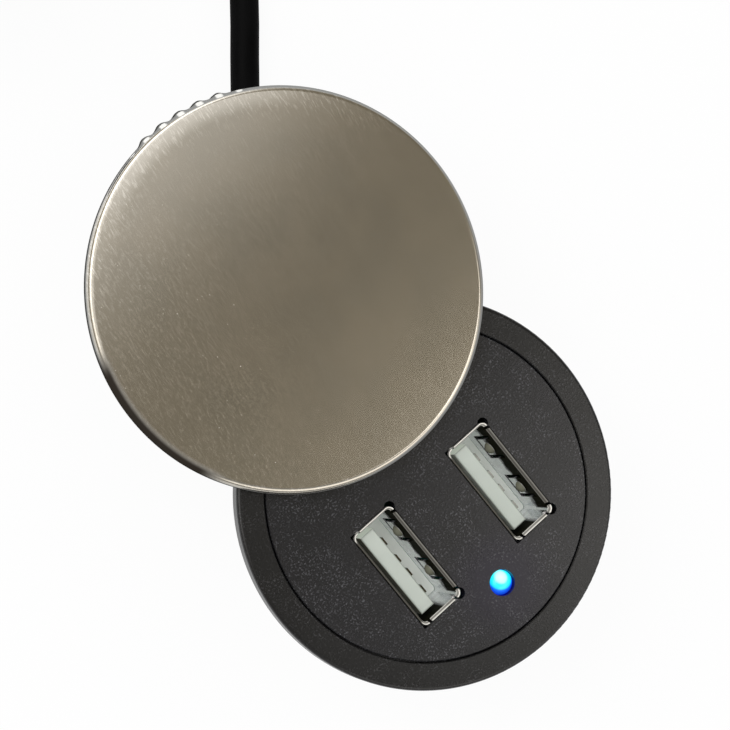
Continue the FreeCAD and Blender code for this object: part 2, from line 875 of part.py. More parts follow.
def coil_nodes():
    """Places along the coil and the way it runs there. The turns spiral in and out again at a steady
    rate, and climb a layer in the half turn where the spiral reverses."""
    centre = Vector(*coil_centre, coil_floor_gap + cord_diameter / 2)
    azimuth = coil_start_azimuth
    radius = coil_outer_radius
    height = 0.0
    step = -coil_pitch / 2
    nodes = []

    def add(slope):
        place = centre + Vector(*polar(radius, azimuth), height)
        nodes.append((place, (heading(azimuth) + UP * slope).normalize()))

    add(0)
    for layer in range(coil_layers):
        for _ in range(coil_half_turns):
            azimuth += 180
            radius += step
            add(0)
        if layer < coil_layers - 1:
            azimuth += 90
            radius += step / 2
            height += coil_layer_height / 2
            add(2 * coil_layer_height / (math.pi * radius))
            azimuth += 90
            radius -= step / 2
            height += coil_layer_height / 2
            step = -step
            add(0)
    return nodes


def quarter_arc(start, corner, end):
    """The arc that leaves start towards corner and arrives at end from it, both equally far away."""
    middle = (start + end) * 0.5
    to_corner = corner - middle
    half_chord = (end - start).Length / 2
    rise = half_chord * math.tan(math.atan2(to_corner.Length, half_chord) / 2)
    return Part.Arc(start, middle + to_corner.normalize() * rise, end)


def biarc(start, leaving, end, arriving):
    """Two tangent arcs from one place and direction to another."""
    chord = end - start
    lean = chord.dot(leaving + arriving)
    spread = 2 * (1 - leaving.dot(arriving))
    reach = (math.sqrt(lean * lean + spread * chord.dot(chord)) - lean) / spread
    first = start + leaving * reach
    second = end - arriving * reach
    joint = (first + second) * 0.5
    return [quarter_arc(start, first, joint), quarter_arc(joint, second, end)]


def coil_curves():
    """The coil's centre line: a straight end, its turns as biarcs, and a straight end."""
    nodes = coil_nodes()
    first, leaving = nodes[0]
    last, arriving = nodes[-1]
    curves = [Part.LineSegment(first - leaving * cord_diameter, first)]
    for (start, way), (end, onward) in zip(nodes, nodes[1:]):
        curves += biarc(start, way, end, onward)
    curves.append(Part.LineSegment(last, last + arriving * cord_diameter))
    return curves


def coil_ends():
    """The place and direction of each end of the coil."""
    nodes = coil_nodes()
    first, leaving = nodes[0]
    last, arriving = nodes[-1]
    return first - leaving * cord_diameter, leaving, last + arriving * cord_diameter, arriving


def print_coil_gap(curves):
    """Prints the least gap between turns, measured on points of the centre line."""
    samples = 10
    points = []
    for curve in curves:
        low = curve.FirstParameter
        span = curve.LastParameter - low
        points += [curve.value(low + span * index / samples) for index in range(samples)]
    skip = samples * 2
    gap = min(
        (a - b).Length
        for index, a in enumerate(points)
        for b in points[index + skip:]
    )
    turns = (coil_half_turns * coil_layers + coil_layers - 1) / 2
    print(f"coil: {turns:.1f} turns, least gap to itself {gap - cord_diameter:.2f} mm")


def cord_coil():
    curves = coil_curves()
    print_coil_gap(curves)
    start, leaving, _, _ = coil_ends()
    path = Part.Wire([curve.toShape() for curve in curves])
    return swept(path, cord_diameter / 2, start, leaving)


def lead_points():
    """The cord's route from its relief, along the desk and into the coil."""
    start, direction = relief_axis()
    first = start + direction * relief_tip
    entry, leaving, _, _ = coil_ends()
    return [first] + [Vector(*point) for point in lead_route] + [entry - leaving * lead_last_run, entry]


def tail_points():
    """The cord's route from the coil's last turn, up and over the coil to the plug on top of it."""
    _, _, place, direction = coil_ends()
    points = [place]
    way = Vector(direction.x, direction.y, 0).normalize()
    for index, (run, rise) in enumerate(tail_runs):
        if index > 0:
            way = Rotation(UP, tail_turn).multVec(way)
        level = math.sqrt(run * run - rise * rise)
        points.append(points[-1] + way * level + UP * rise)
    return points


def coil_top():
    return coil_floor_gap + coil_layer_height * (coil_layers - 1) + cord_diameter


def cord_tie():
    """The strap round the coil's bundle of turns."""
    reversal = coil_pitch / 4
    inner = coil_outer_radius - coil_half_turns * coil_pitch / 2 - reversal - cord_diameter / 2 - 2 * tie_gap
    outer = coil_outer_radius + reversal + cord_diameter / 2 + 2 * tie_gap
    bottom = coil_floor_gap - tie_gap
    top = coil_top() + tie_gap
    hole = rounded_bar(inner, outer, bottom, top, tie_thickness)
    strap = rounded_bar(
        inner - tie_thickness, outer + tie_thickness, bottom - tie_thickness, top + tie_thickness, 2 * tie_thickness
    )
    tie = turned(strap.cut(hole), tie_azimuth)
    tie.translate(Vector(*coil_centre, 0))
    return tie


def rounded_bar(inner, outer, bottom, top, corner):
    """A bar as wide as the tie, along Y, with its long edges rounded."""
    bar = block((inner, -tie_width / 2, bottom), (outer, tie_width / 2, top))
    long_edges = [edge for edge in bar.Edges if abs(edge.tangentAt(edge.FirstParameter).y) > 0.99]
    return bar.makeFillet(corner, long_edges)


def plug_place():
    """Where the cord enters the plug, and the way that the plug points."""
    points = tail_points()
    return points[-1], (points[-1] - points[-2]).normalize()


def laid(shape):
    """A plug piece modelled along +X from the cord's end, laid in its place."""
    place, direction = plug_place()
    copy = turned(shape, math.degrees(math.atan2(direction.y, direction.x)))
    copy.translate(place)
    return copy


def plug_body():
    """The moulded grip of the plug with its short relief."""
    length, width, height = plug_body_size
    grip = centred(length, width, height, plug_relief_length + length / 2, 0, -height / 2)
    grip = grip.makeFillet(plug_body_round, grip.Edges)
    relief = Part.makeCone(
        cord_diameter / 2 + 0.3, plug_relief_radius, plug_relief_length + plug_body_round,
        Vector(0, 0, 0), Vector(1, 0, 0),
    )
    socket = block(
        (plug_relief_length + length - plug_body_round, -plug_shell_size[1] / 2, -plug_shell_size[2] / 2),
        (plug_relief_length + length + 1, plug_shell_size[1] / 2, plug_shell_size[2] / 2),
    )
    return laid(grip.fuse(relief).removeSplitter().cut(socket))


def plug_shell():
    """The steel sleeve of the plug with its two catch windows on each face."""
    length, width, height = plug_shell_size
    start = plug_core_start()
    whole = length + plug_body_round
    wall = plug_shell_wall
    sleeve = centred(whole, width, height, start + whole / 2, 0, -height / 2)
    bore = centred(whole, width - 2 * wall, height - 2 * wall, start + whole / 2, 0, -height / 2 + wall)
    sleeve = sleeve.cut(bore)
    for side in (-1, 1):
        window = centred(
            plug_window_size, plug_window_size, height + 2,
            start + plug_body_round + plug_window_place, side * plug_window_spacing / 2, -height / 2 - 1,
        )
        sleeve = sleeve.cut(window)
    return laid(sleeve)


def plug_core_start():
    return plug_relief_length + plug_body_size[0] - plug_body_round


def plug_insulator():
    """The moulded tongue that fills the lower part of the plug's sleeve."""
    length, width, height = plug_shell_size
    fit = plug_shell_wall + fit_gap / 2
    start = plug_core_start()
    tongue = block(
        (start, -width / 2 + fit, -height / 2 + fit),
        (start + length + plug_body_round - plug_contact_recess, width / 2 - fit, -height / 2 + fit + plug_tongue_height),
    )
    return laid(tongue)


def plug_contacts():
    length, _, height = plug_shell_size
    start = plug_core_start() + plug_body_round + length / 3
    low = -height / 2 + plug_shell_wall + fit_gap / 2 + plug_tongue_height
    strips = [
        block(
            (start, place - contact_width / 2, low),
            (start + length / 2, place + contact_width / 2, low + contact_thickness),
        )
        for place in contact_places
    ]
    return laid(group(strips))


def pieces():
    """Every piece by its name."""
    made = {
        "housing": housing(),
        "port_panel": port_panel(),
        "base_cap": base_cap(),
        "base_screws": base_screws(),
        "board_screws": board_screws(),
        "circuit_board": circuit_board(),
        "light_lens": light_lens(),
        "light_leads": light_leads(),
        "charge_chips": board_chips(chip_size, chip_places),
        "chip_resistors": board_chips(resistor_size, resistor_places),
        "input_capacitors": input_capacitors(),
        "power_lead_positive": power_lead(1),
        "power_lead_negative": power_lead(-1),
        "pivot_bush": pivot_bush(),
        "friction_washer": friction_washer(),
        "travel_stop_pin": stop_pin(),
        "pivot_screw": opened(pivot_screw()),
        "spring_washer": opened(spring_washer()),
        "cover_cap": opened(cover_cap()),
        "cover_liner": opened(cover_liner()),
        "liner_screws": opened(liner_screws()),
        "cord_relief": cord_relief(),
        "cord_lead": bent_tube(lead_points(), cord_diameter / 2),
        "cord_coil": cord_coil(),
        "cord_tail": bent_tube(tail_points(), cord_diameter / 2),
        "cord_tie": cord_tie(),
        "plug_body": plug_body(),
        "plug_shell": plug_shell(),
        "plug_insulator": plug_insulator(),
        "plug_contacts": plug_contacts(),
    }
    for side, (x, y) in port_places.items():
        made[f"usb_shell_{side}"] = usb_shell(x, y)
        made[f"usb_insulator_{side}"] = usb_insulator(x, y)
        made[f"usb_contacts_{side}"] = usb_contacts(x, y)
    return made


os.makedirs("parts", exist_ok=True)
for name, shape in pieces().items():
    shape.exportStep(f"parts/{name}.step")
    print(f"{name}: {len(shape.Solids)} solids, {shape.Volume:.2f} mm3, valid {shape.isValid()}")
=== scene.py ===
import math

import bpy
import numpy as np
from mathutils import Matrix, Vector


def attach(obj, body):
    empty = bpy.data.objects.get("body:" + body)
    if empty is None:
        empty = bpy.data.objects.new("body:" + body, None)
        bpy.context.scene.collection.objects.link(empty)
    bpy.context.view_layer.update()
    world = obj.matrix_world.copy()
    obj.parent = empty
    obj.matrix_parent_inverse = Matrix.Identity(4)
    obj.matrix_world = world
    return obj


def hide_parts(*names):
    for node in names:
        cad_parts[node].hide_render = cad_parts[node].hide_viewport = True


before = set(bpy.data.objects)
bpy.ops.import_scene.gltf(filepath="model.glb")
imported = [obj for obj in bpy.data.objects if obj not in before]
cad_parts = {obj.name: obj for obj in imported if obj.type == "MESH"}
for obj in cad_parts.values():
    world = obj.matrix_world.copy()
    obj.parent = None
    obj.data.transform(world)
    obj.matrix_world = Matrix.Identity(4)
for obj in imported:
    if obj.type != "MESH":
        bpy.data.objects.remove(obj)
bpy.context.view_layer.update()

# The photograph's view
# Taken by hand from a quarter of a metre above the charger, behind it and to its left, with the
# picture turned so that the cord leaves at the upper left.
picture_pixels = 730
focal_pixels = 2200
camera_place = Vector((-0.05574, 0.05277, 0.25486))
picture_right = Vector((0.73080, -0.62058, 0.28427))
picture_up = Vector((0.63784, 0.76916, 0.03936))

camera = bpy.data.objects.new("camera", bpy.data.cameras.new("camera"))
camera.data.sensor_width = 36
camera.data.lens = focal_pixels / picture_pixels * camera.data.sensor_width
camera.data.clip_start = 0.01
towards_camera = picture_right.cross(picture_up).normalized()
picture_up = towards_camera.cross(picture_right).normalized()
axes = Matrix((picture_right.normalized(), picture_up, towards_camera)).transposed()
camera.matrix_world = Matrix.Translation(camera_place) @ axes.to_4x4()
bpy.context.scene.collection.objects.link(camera)
bpy.context.scene.camera = camera
bpy.context.scene.view_settings.view_transform = "Standard"

# The cord
# A limp round lead of black vinyl, 1.5 m long. It comes out of the rubber relief at the back and
# runs over the desk, and the rest lies wound in four layers with the plug on top.
cord_diameter = 0.0035
desk_route = [
    (0.006712, 0.025052, 0.003325),
    (0.0101, 0.0377, 0.00175),
    (0.0314, 0.0622, 0.00175),
    (0.0336, 0.0733, 0.00175),
]
last_run = 0.014
tail_route = [
    (-0.012171, 0.081439, 0.0144),
    (-0.005566, 0.077150, 0.0176),
    (0.002601, 0.077008, 0.01995),
    (0.009887, 0.081386, 0.01995),
]
coil_middle = np.array((0.0046, 0.1025, 0.0024))
coil_outer_radius = 0.0241
coil_start_turn = math.radians(25)
coil_half_turns = 5
coil_layers = 4
coil_pitch = 0.004
coil_layer_height = 0.004
points_per_half_turn = 12


def coil_points():
    """The coil's centre line as control points. The radius shrinks or grows by half a pitch in each
    half turn. In the half turn between two layers it swings out and back as a half sine, while the
    height climbs one layer with a soft start and end."""
    share = np.arange(points_per_half_turn) / points_per_half_turn
    turns, radii, heights = [], [], []
    turn, radius, height, growth = coil_start_turn, coil_outer_radius, 0.0, -coil_pitch / 2
    for layer in range(coil_layers):
        for _ in range(coil_half_turns):
            turns.append(turn + math.pi * share)
            radii.append(radius + growth * share)
            heights.append(height + 0 * share)
            turn += math.pi
            radius += growth
        if layer < coil_layers - 1:
            climb = share - np.sin(2 * math.pi * share) / (2 * math.pi)
            turns.append(turn + math.pi * share)
            radii.append(radius + growth / 2 * np.sin(math.pi * share))
            heights.append(height + coil_layer_height * climb)
            turn += math.pi
            height += coil_layer_height
            growth = -growth
    turns = np.append(np.concatenate(turns), turn)
    radii = np.append(np.concatenate(radii), radius)
    heights = np.append(np.concatenate(heights), height)
    # control points stand outside the curve that they draw
    radii = radii / math.cos(math.pi / points_per_half_turn / 2)
    return coil_middle + np.stack([radii * np.cos(turns), radii * np.sin(turns), heights], 1)


wound = coil_points()
way_in = np.array((-math.sin(coil_start_turn), math.cos(coil_start_turn), 0))
coil_entry = wound[0] - way_in * cord_diameter
coil_exit = wound[-1] - way_in * cord_diameter
cord_points = np.vstack([
    desk_route, coil_entry - way_in * last_run, coil_entry, wound, coil_exit, tail_route
])

cord_curve = bpy.data.curves.new("cord", "CURVE")
cord_curve.dimensions = "3D"
cord_curve.bevel_depth = cord_diameter / 2
cord_curve.bevel_resolution = 6
cord_curve.resolution_u = 8
cord_curve.use_fill_caps = True
spline = cord_curve.splines.new("NURBS")
spline.points.add(len(cord_points) - 1)
spline.points.foreach_set("co", np.hstack([cord_points, np.ones((len(cord_points), 1))]).ravel())
spline.order_u = 3
spline.use_endpoint_u = True
cord = bpy.data.objects.new("cord", cord_curve)
bpy.context.scene.collection.objects.link(cord)


class Level:
    """A number or colour that varies over a surface. An expression on it adds its Math nodes."""

    def __init__(self, finish, socket):
        self.finish = finish
        self.socket = socket

    def maths(self, operation, *values):
        return self.finish.node("ShaderNodeMath", {"operation": operation}, dict(enumerate(values)))

    def __add__(self, other):
        return self.maths("ADD", self, other)

    def __radd__(self, other):
        return self.maths("ADD", other, self)

    def __sub__(self, other):
        return self.maths("SUBTRACT", self, other)

    def __rsub__(self, other):
        return self.maths("SUBTRACT", other, self)

    def __mul__(self, other):
        return self.maths("MULTIPLY", self, other)

    def __rmul__(self, other):
        return self.maths("MULTIPLY", other, self)

    def __truediv__(self, other):
        return self.maths("DIVIDE", self, other)

    def __pow__(self, other):
        return self.maths("POWER", self, other)

    def sine(self):
        return self.maths("SINE", self)

    def fade(self, low, high):
        """0 up to low and 1 from high, with a soft start and end between them."""
        settings = {"interpolation_type": "SMOOTHSTEP"}
        values = {"Value": self, "From Min": low, "From Max": high}
        return self.finish.node("ShaderNodeMapRange", settings, values)


class Finish:
    """A material that is built up node by node. Its patterns are measured in millimetres."""

    def __init__(self, name, constants=None):
        self.material = bpy.data.materials.new(name)
        self.material.use_nodes = True
        self.tree = self.material.node_tree
        self.shader = self.tree.nodes["Principled BSDF"]
        for socket, value in (constants or {}).items():
            self.give(socket, value)

    def node(self, kind, settings=None, values=None, output=0):
        made = self.tree.nodes.new(kind)
        for name, value in (settings or {}).items():
            if name == "stops":
                for _ in value[2:]:
                    made.color_ramp.elements.new(0.5)
                for element, (position, colour) in zip(made.color_ramp.elements, value):
                    element.position = position
                    element.color = (*colour, 1)
            else:
                setattr(made, name, value)
        for name, value in (values or {}).items():
            self.feed(made.inputs[name], value)
        return Level(self, made.outputs[output])

    def feed(self, socket, value):
        if isinstance(value, Level):
            self.tree.links.new(value.socket, socket)
        elif hasattr(value, "__len__") and len(socket.default_value) == 4:
            socket.default_value = (*value, 1)
        else:
            socket.default_value = value

    def give(self, name, value):
        self.feed(self.shader.inputs[name], value)

    def place(self, centre=(0, 0, 0), turn=0.0):
        """Millimetres on the object, counted from a centre in metres and turned about the upright."""
        metres = self.node("ShaderNodeTexCoord", output="Object")
        millimetre = (0.001, 0.001, 0.001)
        sizes = {"Vector": metres, "Location": centre, "Rotation": (0, 0, turn), "Scale": millimetre}
        return self.node("ShaderNodeMapping", {"vector_type": "TEXTURE"}, sizes)

    def stretched(self, place, scale):
        return self.node("ShaderNodeVectorMath", {"operation": "MULTIPLY"}, {0: place, 1: scale})

    def parts(self, place):
        """The three numbers of a place."""
        split = self.node("ShaderNodeSeparateXYZ", values={0: place}).socket.node
        return [Level(self, socket) for socket in split.outputs]

    def noise(self, place, scale, detail=2.0, roughness=0.5):
        sizes = {"Vector": place, "Scale": scale, "Detail": detail, "Roughness": roughness}
        return self.node("ShaderNodeTexNoise", {"noise_dimensions": "3D"}, sizes)

    def cells(self, place, scale, settings):
        """Voronoi cells: the distance from each one's seed, or from its edge."""
        return self.node("ShaderNodeTexVoronoi", settings, {"Vector": place, "Scale": scale})

    def mixed(self, share, start, end):
        """The colour that goes from start to end as share goes from 0 to 1."""
        return self.node("ShaderNodeMix", {"data_type": "RGBA"}, {0: share, 6: start, 7: end}, output=2)

    def relief(self, height, depth):
        """Heights from 0 to 1 make a relief of that depth in millimetres."""
        self.give("Normal", self.node("ShaderNodeBump", values={"Height": height, "Distance": depth / 1000}))


def rubbery(name, base, shine, grain):
    """Soft vinyl or rubber: a dull sheen with faint wipes over a fine grain of that many waves a mm."""
    finish = Finish(name, {"Specular IOR Level": shine})
    place = finish.place()
    wipes = finish.noise(place, 0.25, 3).fade(0.3, 0.7)
    pits = finish.noise(place, grain, 3)
    finish.give("Base Color", finish.mixed(wipes, base, tuple(1.6 * part for part in base)))
    finish.give("Roughness", 0.46 + 0.1 * wipes + 0.1 * pits)
    finish.relief(pits, 0.015)
    return finish.material


def dress(material, *names):
    """Gives a material to pieces of the frame."""
    for name in names:
        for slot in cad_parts[name].material_slots:
            slot.material = material


vinyl = rubbery("cord_vinyl", (0.002, 0.002, 0.0021), 0.03, 6)
cord.data.materials.append(vinyl)
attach(cord, "body")
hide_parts("cord_lead", "cord_coil", "cord_tail")

# The cord's relief
# Ribbed rubber, moulded round the cord. Its neck drops into a slot in the barrel, and the base
# plate holds it there.
dress(rubbery("relief_rubber", (0.01, 0.01, 0.0105), 0.3, 3), "cord_relief")

# The tie
# A rubber strap moulded as a closed band, with fine ridges for the fingers on its outside. It is
# rolled over the coil and holds the turns together.
tie_turn = math.radians(120)
tie_inner = 0.01125
tie_outer = 0.02695
tie_bottom = 0.0006
tie_top = 0.0162
tie_width = 0.005
tie_thickness = 0.0006
tie_corner = 0.0009
tie_ridge_depth = 0.00008
tie_ridge_reach = 0.002
tie_ridges = 96
tie_side_power = 0.35
tie_face_power = 0.6
tie_corner_step = 15
tie_run_points = 72
tie_section_points = 24


def power(value, exponent):
    """A signed power, which flattens a sine towards a square wave."""
    return np.sign(value) * np.abs(value) ** exponent


def surface(name, points, ring_of_rows=False, capped=False, sharp_over=40):
    """A mesh over a grid of points (rows, columns, 3). Each row is a ring. The rows can be a ring too,
    or the first and the last can be closed by a fan. The normals turn smoothly under an angle."""
    rows, columns, _ = points.shape
    here = np.arange(columns)
    beside = (here + 1) % columns
    start = np.arange(rows if ring_of_rows else rows - 1)[:, None]
    onward = (start + 1) % rows
    corners = [
        start * columns + here, start * columns + beside,
        onward * columns + beside, onward * columns + here,
    ]
    faces = np.stack(corners, -1).reshape(-1, 4).tolist()
    vertices = points.reshape(-1, 3)
    if capped:
        edge = (rows - 1) * columns
        pole = len(vertices)
        faces += np.stack([0 * here + pole, beside, here], -1).tolist()
        faces += np.stack([0 * here + pole + 1, edge + here, edge + beside], -1).tolist()
        vertices = np.vstack([vertices, points[0].mean(0), points[-1].mean(0)])
    mesh = bpy.data.meshes.new(name)
    mesh.from_pydata(vertices, [], faces)
    mesh.shade_smooth()
    mesh.set_sharp_from_angle(angle=math.radians(sharp_over))
    piece = bpy.data.objects.new(name, mesh)
    bpy.context.scene.collection.objects.link(piece)
    return piece


def tie_points():
    """A loop round the bundle, a rectangle with round corners, carries a flat section with round
    edges. Its outside sinks by a raised cosine along the loop."""
    half_wide = (tie_outer - tie_inner + tie_thickness) / 2 - tie_corner
    half_high = (tie_top - tie_bottom + tie_thickness) / 2 - tie_corner
    angles = np.radians(np.arange(0, 90, tie_corner_step) + tie_corner_step / 2)
    loop, facing = [], []
    for corner, (x, z) in enumerate([(1, 1), (-1, 1), (-1, -1), (1, -1)]):
        turned = angles + corner * math.pi / 2
        out = np.stack([np.cos(turned), np.sin(turned)], 1)
        loop.append(np.array((x * half_wide, z * half_high)) + tie_corner * out)
        facing.append(out)
        run_start = loop[-1][-1]
        ahead = [(-1, 1), (-1, -1), (1, -1), (1, 1)][corner]
        first_out = np.array((-out[0][1], out[0][0]))
        run_end = np.array((ahead[0] * half_wide, ahead[1] * half_high)) + tie_corner * first_out
        share = np.linspace(0, 1, tie_run_points + 2)[1:-1, None]
        loop.append(run_start + (run_end - run_start) * share)
        way = np.array((math.cos((corner + 1) * math.pi / 2), math.sin((corner + 1) * math.pi / 2)))
        facing.append(np.repeat([way], tie_run_points, 0))
    loop, facing = np.vstack(loop), np.vstack(facing)
    around = np.linspace(0, 2 * math.pi, tie_section_points, endpoint=False)
    across = tie_width / 2 * power(np.cos(around), tie_side_power)
    thick = tie_thickness / 2 * power(np.sin(around), tie_face_power)
    steps = np.hypot(*np.diff(loop, axis=0, prepend=loop[-1:]).T)
    along = np.cumsum(steps) / steps.sum() * 2 * math.pi * tie_ridges
    ridged = (thick > 0) & (np.abs(across) < tie_ridge_reach)
    offset = thick - tie_ridge_depth * (0.5 - 0.5 * np.cos(along))[:, None] * ridged
    flat = loop[:, None] + facing[:, None] * offset[..., None]
    radial = flat[..., 0] + (tie_outer + tie_inner) / 2
    height = flat[..., 1] + (tie_top + tie_bottom) / 2
    sideways = across + 0 * height
    x = coil_middle[0] + radial * math.cos(tie_turn) - sideways * math.sin(tie_turn)
    y = coil_middle[1] + radial * math.sin(tie_turn) + sideways * math.cos(tie_turn)
    return np.stack([x, y, height], -1)


tie = surface("coil_tie", tie_points(), ring_of_rows=True)
tie.data.materials.append(rubbery("tie_rubber", (0.012, 0.012, 0.0125), 0.25, 3))
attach(tie, "body")
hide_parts("cord_tie")

# The plug
# Black vinyl moulded over the end of the cord and the steel sleeve: a ribbed tail, sloping
# shoulders and a flat grip with rows of ridges on both faces.
plug_place = np.array(tail_route[-1])
plug_way = np.array((0.857167, 0.515038, 0))
plug_side = np.array((-plug_way[1], plug_way[0], 0))
plug_tail = 0.007
plug_shoulders = 0.0028
plug_end = 0.0245
plug_half_width = 0.0077
plug_half_height = 0.0035
plug_round = 0.0016
plug_squareness = 0.62
tail_radii = (0.00205, 0.0026)
tail_rings = 5
grip_rows = (0.0125, 0.0205)
grip_row_pitch = 0.001
grip_row_reach = 0.72
groove_depth = 0.00025
tail_steps = 90
grip_steps = 220
plug_section_points = 96


def plug_points():
    """Along the plug the section goes from a circle to a flat superellipse. The tail's radius drops
    between its rings, the shoulders follow a smooth step, and the grip's height is notched by a
    flattened sine between two places."""
    tail_places = np.linspace(0, plug_tail, tail_steps)
    s = np.concatenate([tail_places, np.linspace(plug_tail, plug_end, grip_steps)[1:]])
    t = np.clip(s / plug_tail, 0, 1)
    tail = tail_radii[0] + (tail_radii[1] - tail_radii[0]) * t
    tail -= groove_depth * (np.sin(2 * math.pi * tail_rings * t) < 0) * (t < 1)
    swell = np.clip((s - plug_tail) / plug_shoulders, 0, 1)
    swell = swell ** 2 * (3 - 2 * swell)
    end = np.clip((s - plug_end + plug_round) / plug_round, 0, 1)
    rounding = plug_round * (1 - np.sqrt(1 - end ** 2 * 0.999))
    gripped = (s > grip_rows[0]) & (s < grip_rows[1])
    rows = power(np.sin(2 * math.pi * s / grip_row_pitch), 0.5)
    notch = groove_depth * gripped * (0.5 + 0.5 * rows)
    around = np.linspace(0, 2 * math.pi, plug_section_points, endpoint=False)
    exponent = 1 - plug_squareness * swell[:, None]
    across = (tail + (plug_half_width - tail) * swell - rounding)[:, None] * power(np.cos(around), exponent)
    shape = power(np.sin(around), exponent)
    middle = np.abs(across) < plug_half_width * grip_row_reach
    high = (tail + (plug_half_height - tail) * swell - rounding)[:, None] * shape
    high -= np.sign(high) * notch[:, None] * middle * (np.abs(shape) > 0.9)
    places = plug_place + s[:, None, None] * plug_way
    return places + across[..., None] * plug_side + high[..., None] * np.array((0, 0, 1))


plug = surface("plug_grip", plug_points(), capped=True)
plug.data.materials.append(rubbery("plug_vinyl", (0.01, 0.01, 0.0105), 0.3, 4))
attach(plug, "body")
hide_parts("plug_body")

# The studio
# A white floor in a white room, with a soft lamp above and behind. What only gleaming things see
# is a dome: dim over the charger, as a ceiling is, and bright behind it and to its left, as towards
# a window.
floor_half = 1.5
sky_light = 0.75
lamp_power = 2.6
lamp_size = 0.35
lamp_place = Vector((-0.25, 0.45, 0.65))
lamp_target = Vector((0, 0.01, 0.02))
dome_radius = 0.7
dome_rise = (8, 89)
dome_rings = 40
dome_sides = 96


def seen_by(finish):
    """Three levels that are 1 for what the camera, a gleam and clear matter see."""
    path = finish.node("ShaderNodeLightPath").socket.node
    names = ("Is Camera Ray", "Is Glossy Ray", "Is Transmission Ray")
    return [Level(finish, path.outputs[name]) for name in names]


def floor_finish():
    """White paint that the camera sees as nearly pure white, and a gleam as partly so."""
    paint = {"Base Color": (0.9, 0.9, 0.9), "Roughness": 0.9, "Specular IOR Level": 0.1}
    finish = Finish("floor_white", paint)
    eye, gleam, clear = seen_by(finish)
    white = finish.node("ShaderNodeEmission")
    lit = Level(finish, finish.shader.outputs[0])
    share = eye * 0.94 + clear * 0.94 + gleam * 0.4
    mixed = finish.node("ShaderNodeMixShader", values={0: share, 1: lit, 2: white})
    finish.tree.links.new(mixed.socket, finish.tree.nodes["Material Output"].inputs["Surface"])
    return finish.material


corners = [(-1, -1), (1, -1), (1, 1), (-1, 1)]
floor_mesh = bpy.data.meshes.new("floor")
floor_mesh.from_pydata([(x * floor_half, y * floor_half, 0) for x, y in corners], [], [(0, 1, 2, 3)])
floor_mesh.materials.append(floor_finish())
floor = bpy.data.objects.new("floor", floor_mesh)
bpy.context.scene.collection.objects.link(floor)


class Room(Finish):
    """The world, built up with the same nodes as a material."""

    def __init__(self, name):
        world = bpy.data.worlds.new(name)
        world.use_nodes = True
        bpy.context.scene.world = world
        self.tree = world.node_tree
        self.shader = self.tree.nodes["Background"]


room = Room("room")
eye, gleam, clear = seen_by(room)
room.give("Color", (1, 1, 1))
room.give("Strength", sky_light + (eye + gleam + clear) * (1 - sky_light))

lamp = bpy.data.objects.new("lamp", bpy.data.lights.new("lamp", "AREA"))
lamp.data.size = lamp_size
lamp.data.energy = lamp_power
lamp.location = lamp_place
lamp.rotation_mode = "QUATERNION"
lamp.rotation_quaternion = (lamp_place - lamp_target).to_track_quat("Z", "Y")
bpy.context.scene.collection.objects.link(lamp)


def dome_points():
    """A dome over the charger: rings of a sphere from low over the floor to nearly its top."""
    rise = np.radians(np.linspace(*dome_rise, dome_rings))[:, None]
    around = np.linspace(0, 2 * math.pi, dome_sides, endpoint=False)
    level = dome_radius * np.cos(rise)
    height = dome_radius * np.sin(rise) + 0 * around
    return np.stack([level * np.cos(around), level * np.sin(around), height], -1)


def dome_finish():
    """The glow by the slope of the line of sight, which is how far off the top it lies. A bright
    patch lies to the front right, and a wide window behind the charger and another in front of it
    dim towards the floor."""
    finish = Finish("dome_glow")
    x, y, z = finish.parts(finish.place())
    x, y = x / z, y / z
    away = (x * x + y * y) ** 0.5
    upper = 0.66 * y.fade(-0.02, 0.06) * x.fade(0.42, 0.28) * away.fade(1.1, 0.5)
    ceiling = 0.228 + upper + 0.09 * y.fade(-0.08, -0.14) + 0.1 * x.fade(0.18, 0.14) * y.fade(-0.04, 0.0)
    right_side = 3.1 * (x + 0.6 * y).fade(0.0, 0.1) * y.fade(-0.225, -0.28) * away.fade(0.9, 0.45)
    behind = (0.966 * y - 0.26 * x) / away
    window = 1.6 * behind.fade(0.35, 0.7) * away.fade(0.45, 0.9) * away.fade(2.2, 0.9)
    front = 1.4 * y.fade(-0.45, -0.8) * (-1 * y / away).fade(0.5, 0.75) * away.fade(2.2, 1.3)
    glow = ceiling + right_side + window + front
    neutral = (upper + window + front).fade(0.0, 0.5) + y.fade(-0.22, -0.27)
    tint = finish.mixed(neutral, (1.0, 0.9, 0.71), (1.0, 0.97, 0.92))
    shine = finish.node("ShaderNodeEmission", values={"Color": tint, "Strength": glow})
    finish.tree.links.new(shine.socket, finish.tree.nodes["Material Output"].inputs["Surface"])
    return finish.material


dome = surface("dome", dome_points())
dome.data.materials.append(dome_finish())
dome.visible_camera = False
dome.visible_diffuse = False
dome.visible_transmission = False
dome.visible_shadow = False

# The body
# A flanged barrel with crush ribs that grip the hole in the desk, moulded in black plastic with a
# fine spark texture. A plate of the same plastic is screwed in to close it from below.
light_centre = (0, -0.0133, 0)


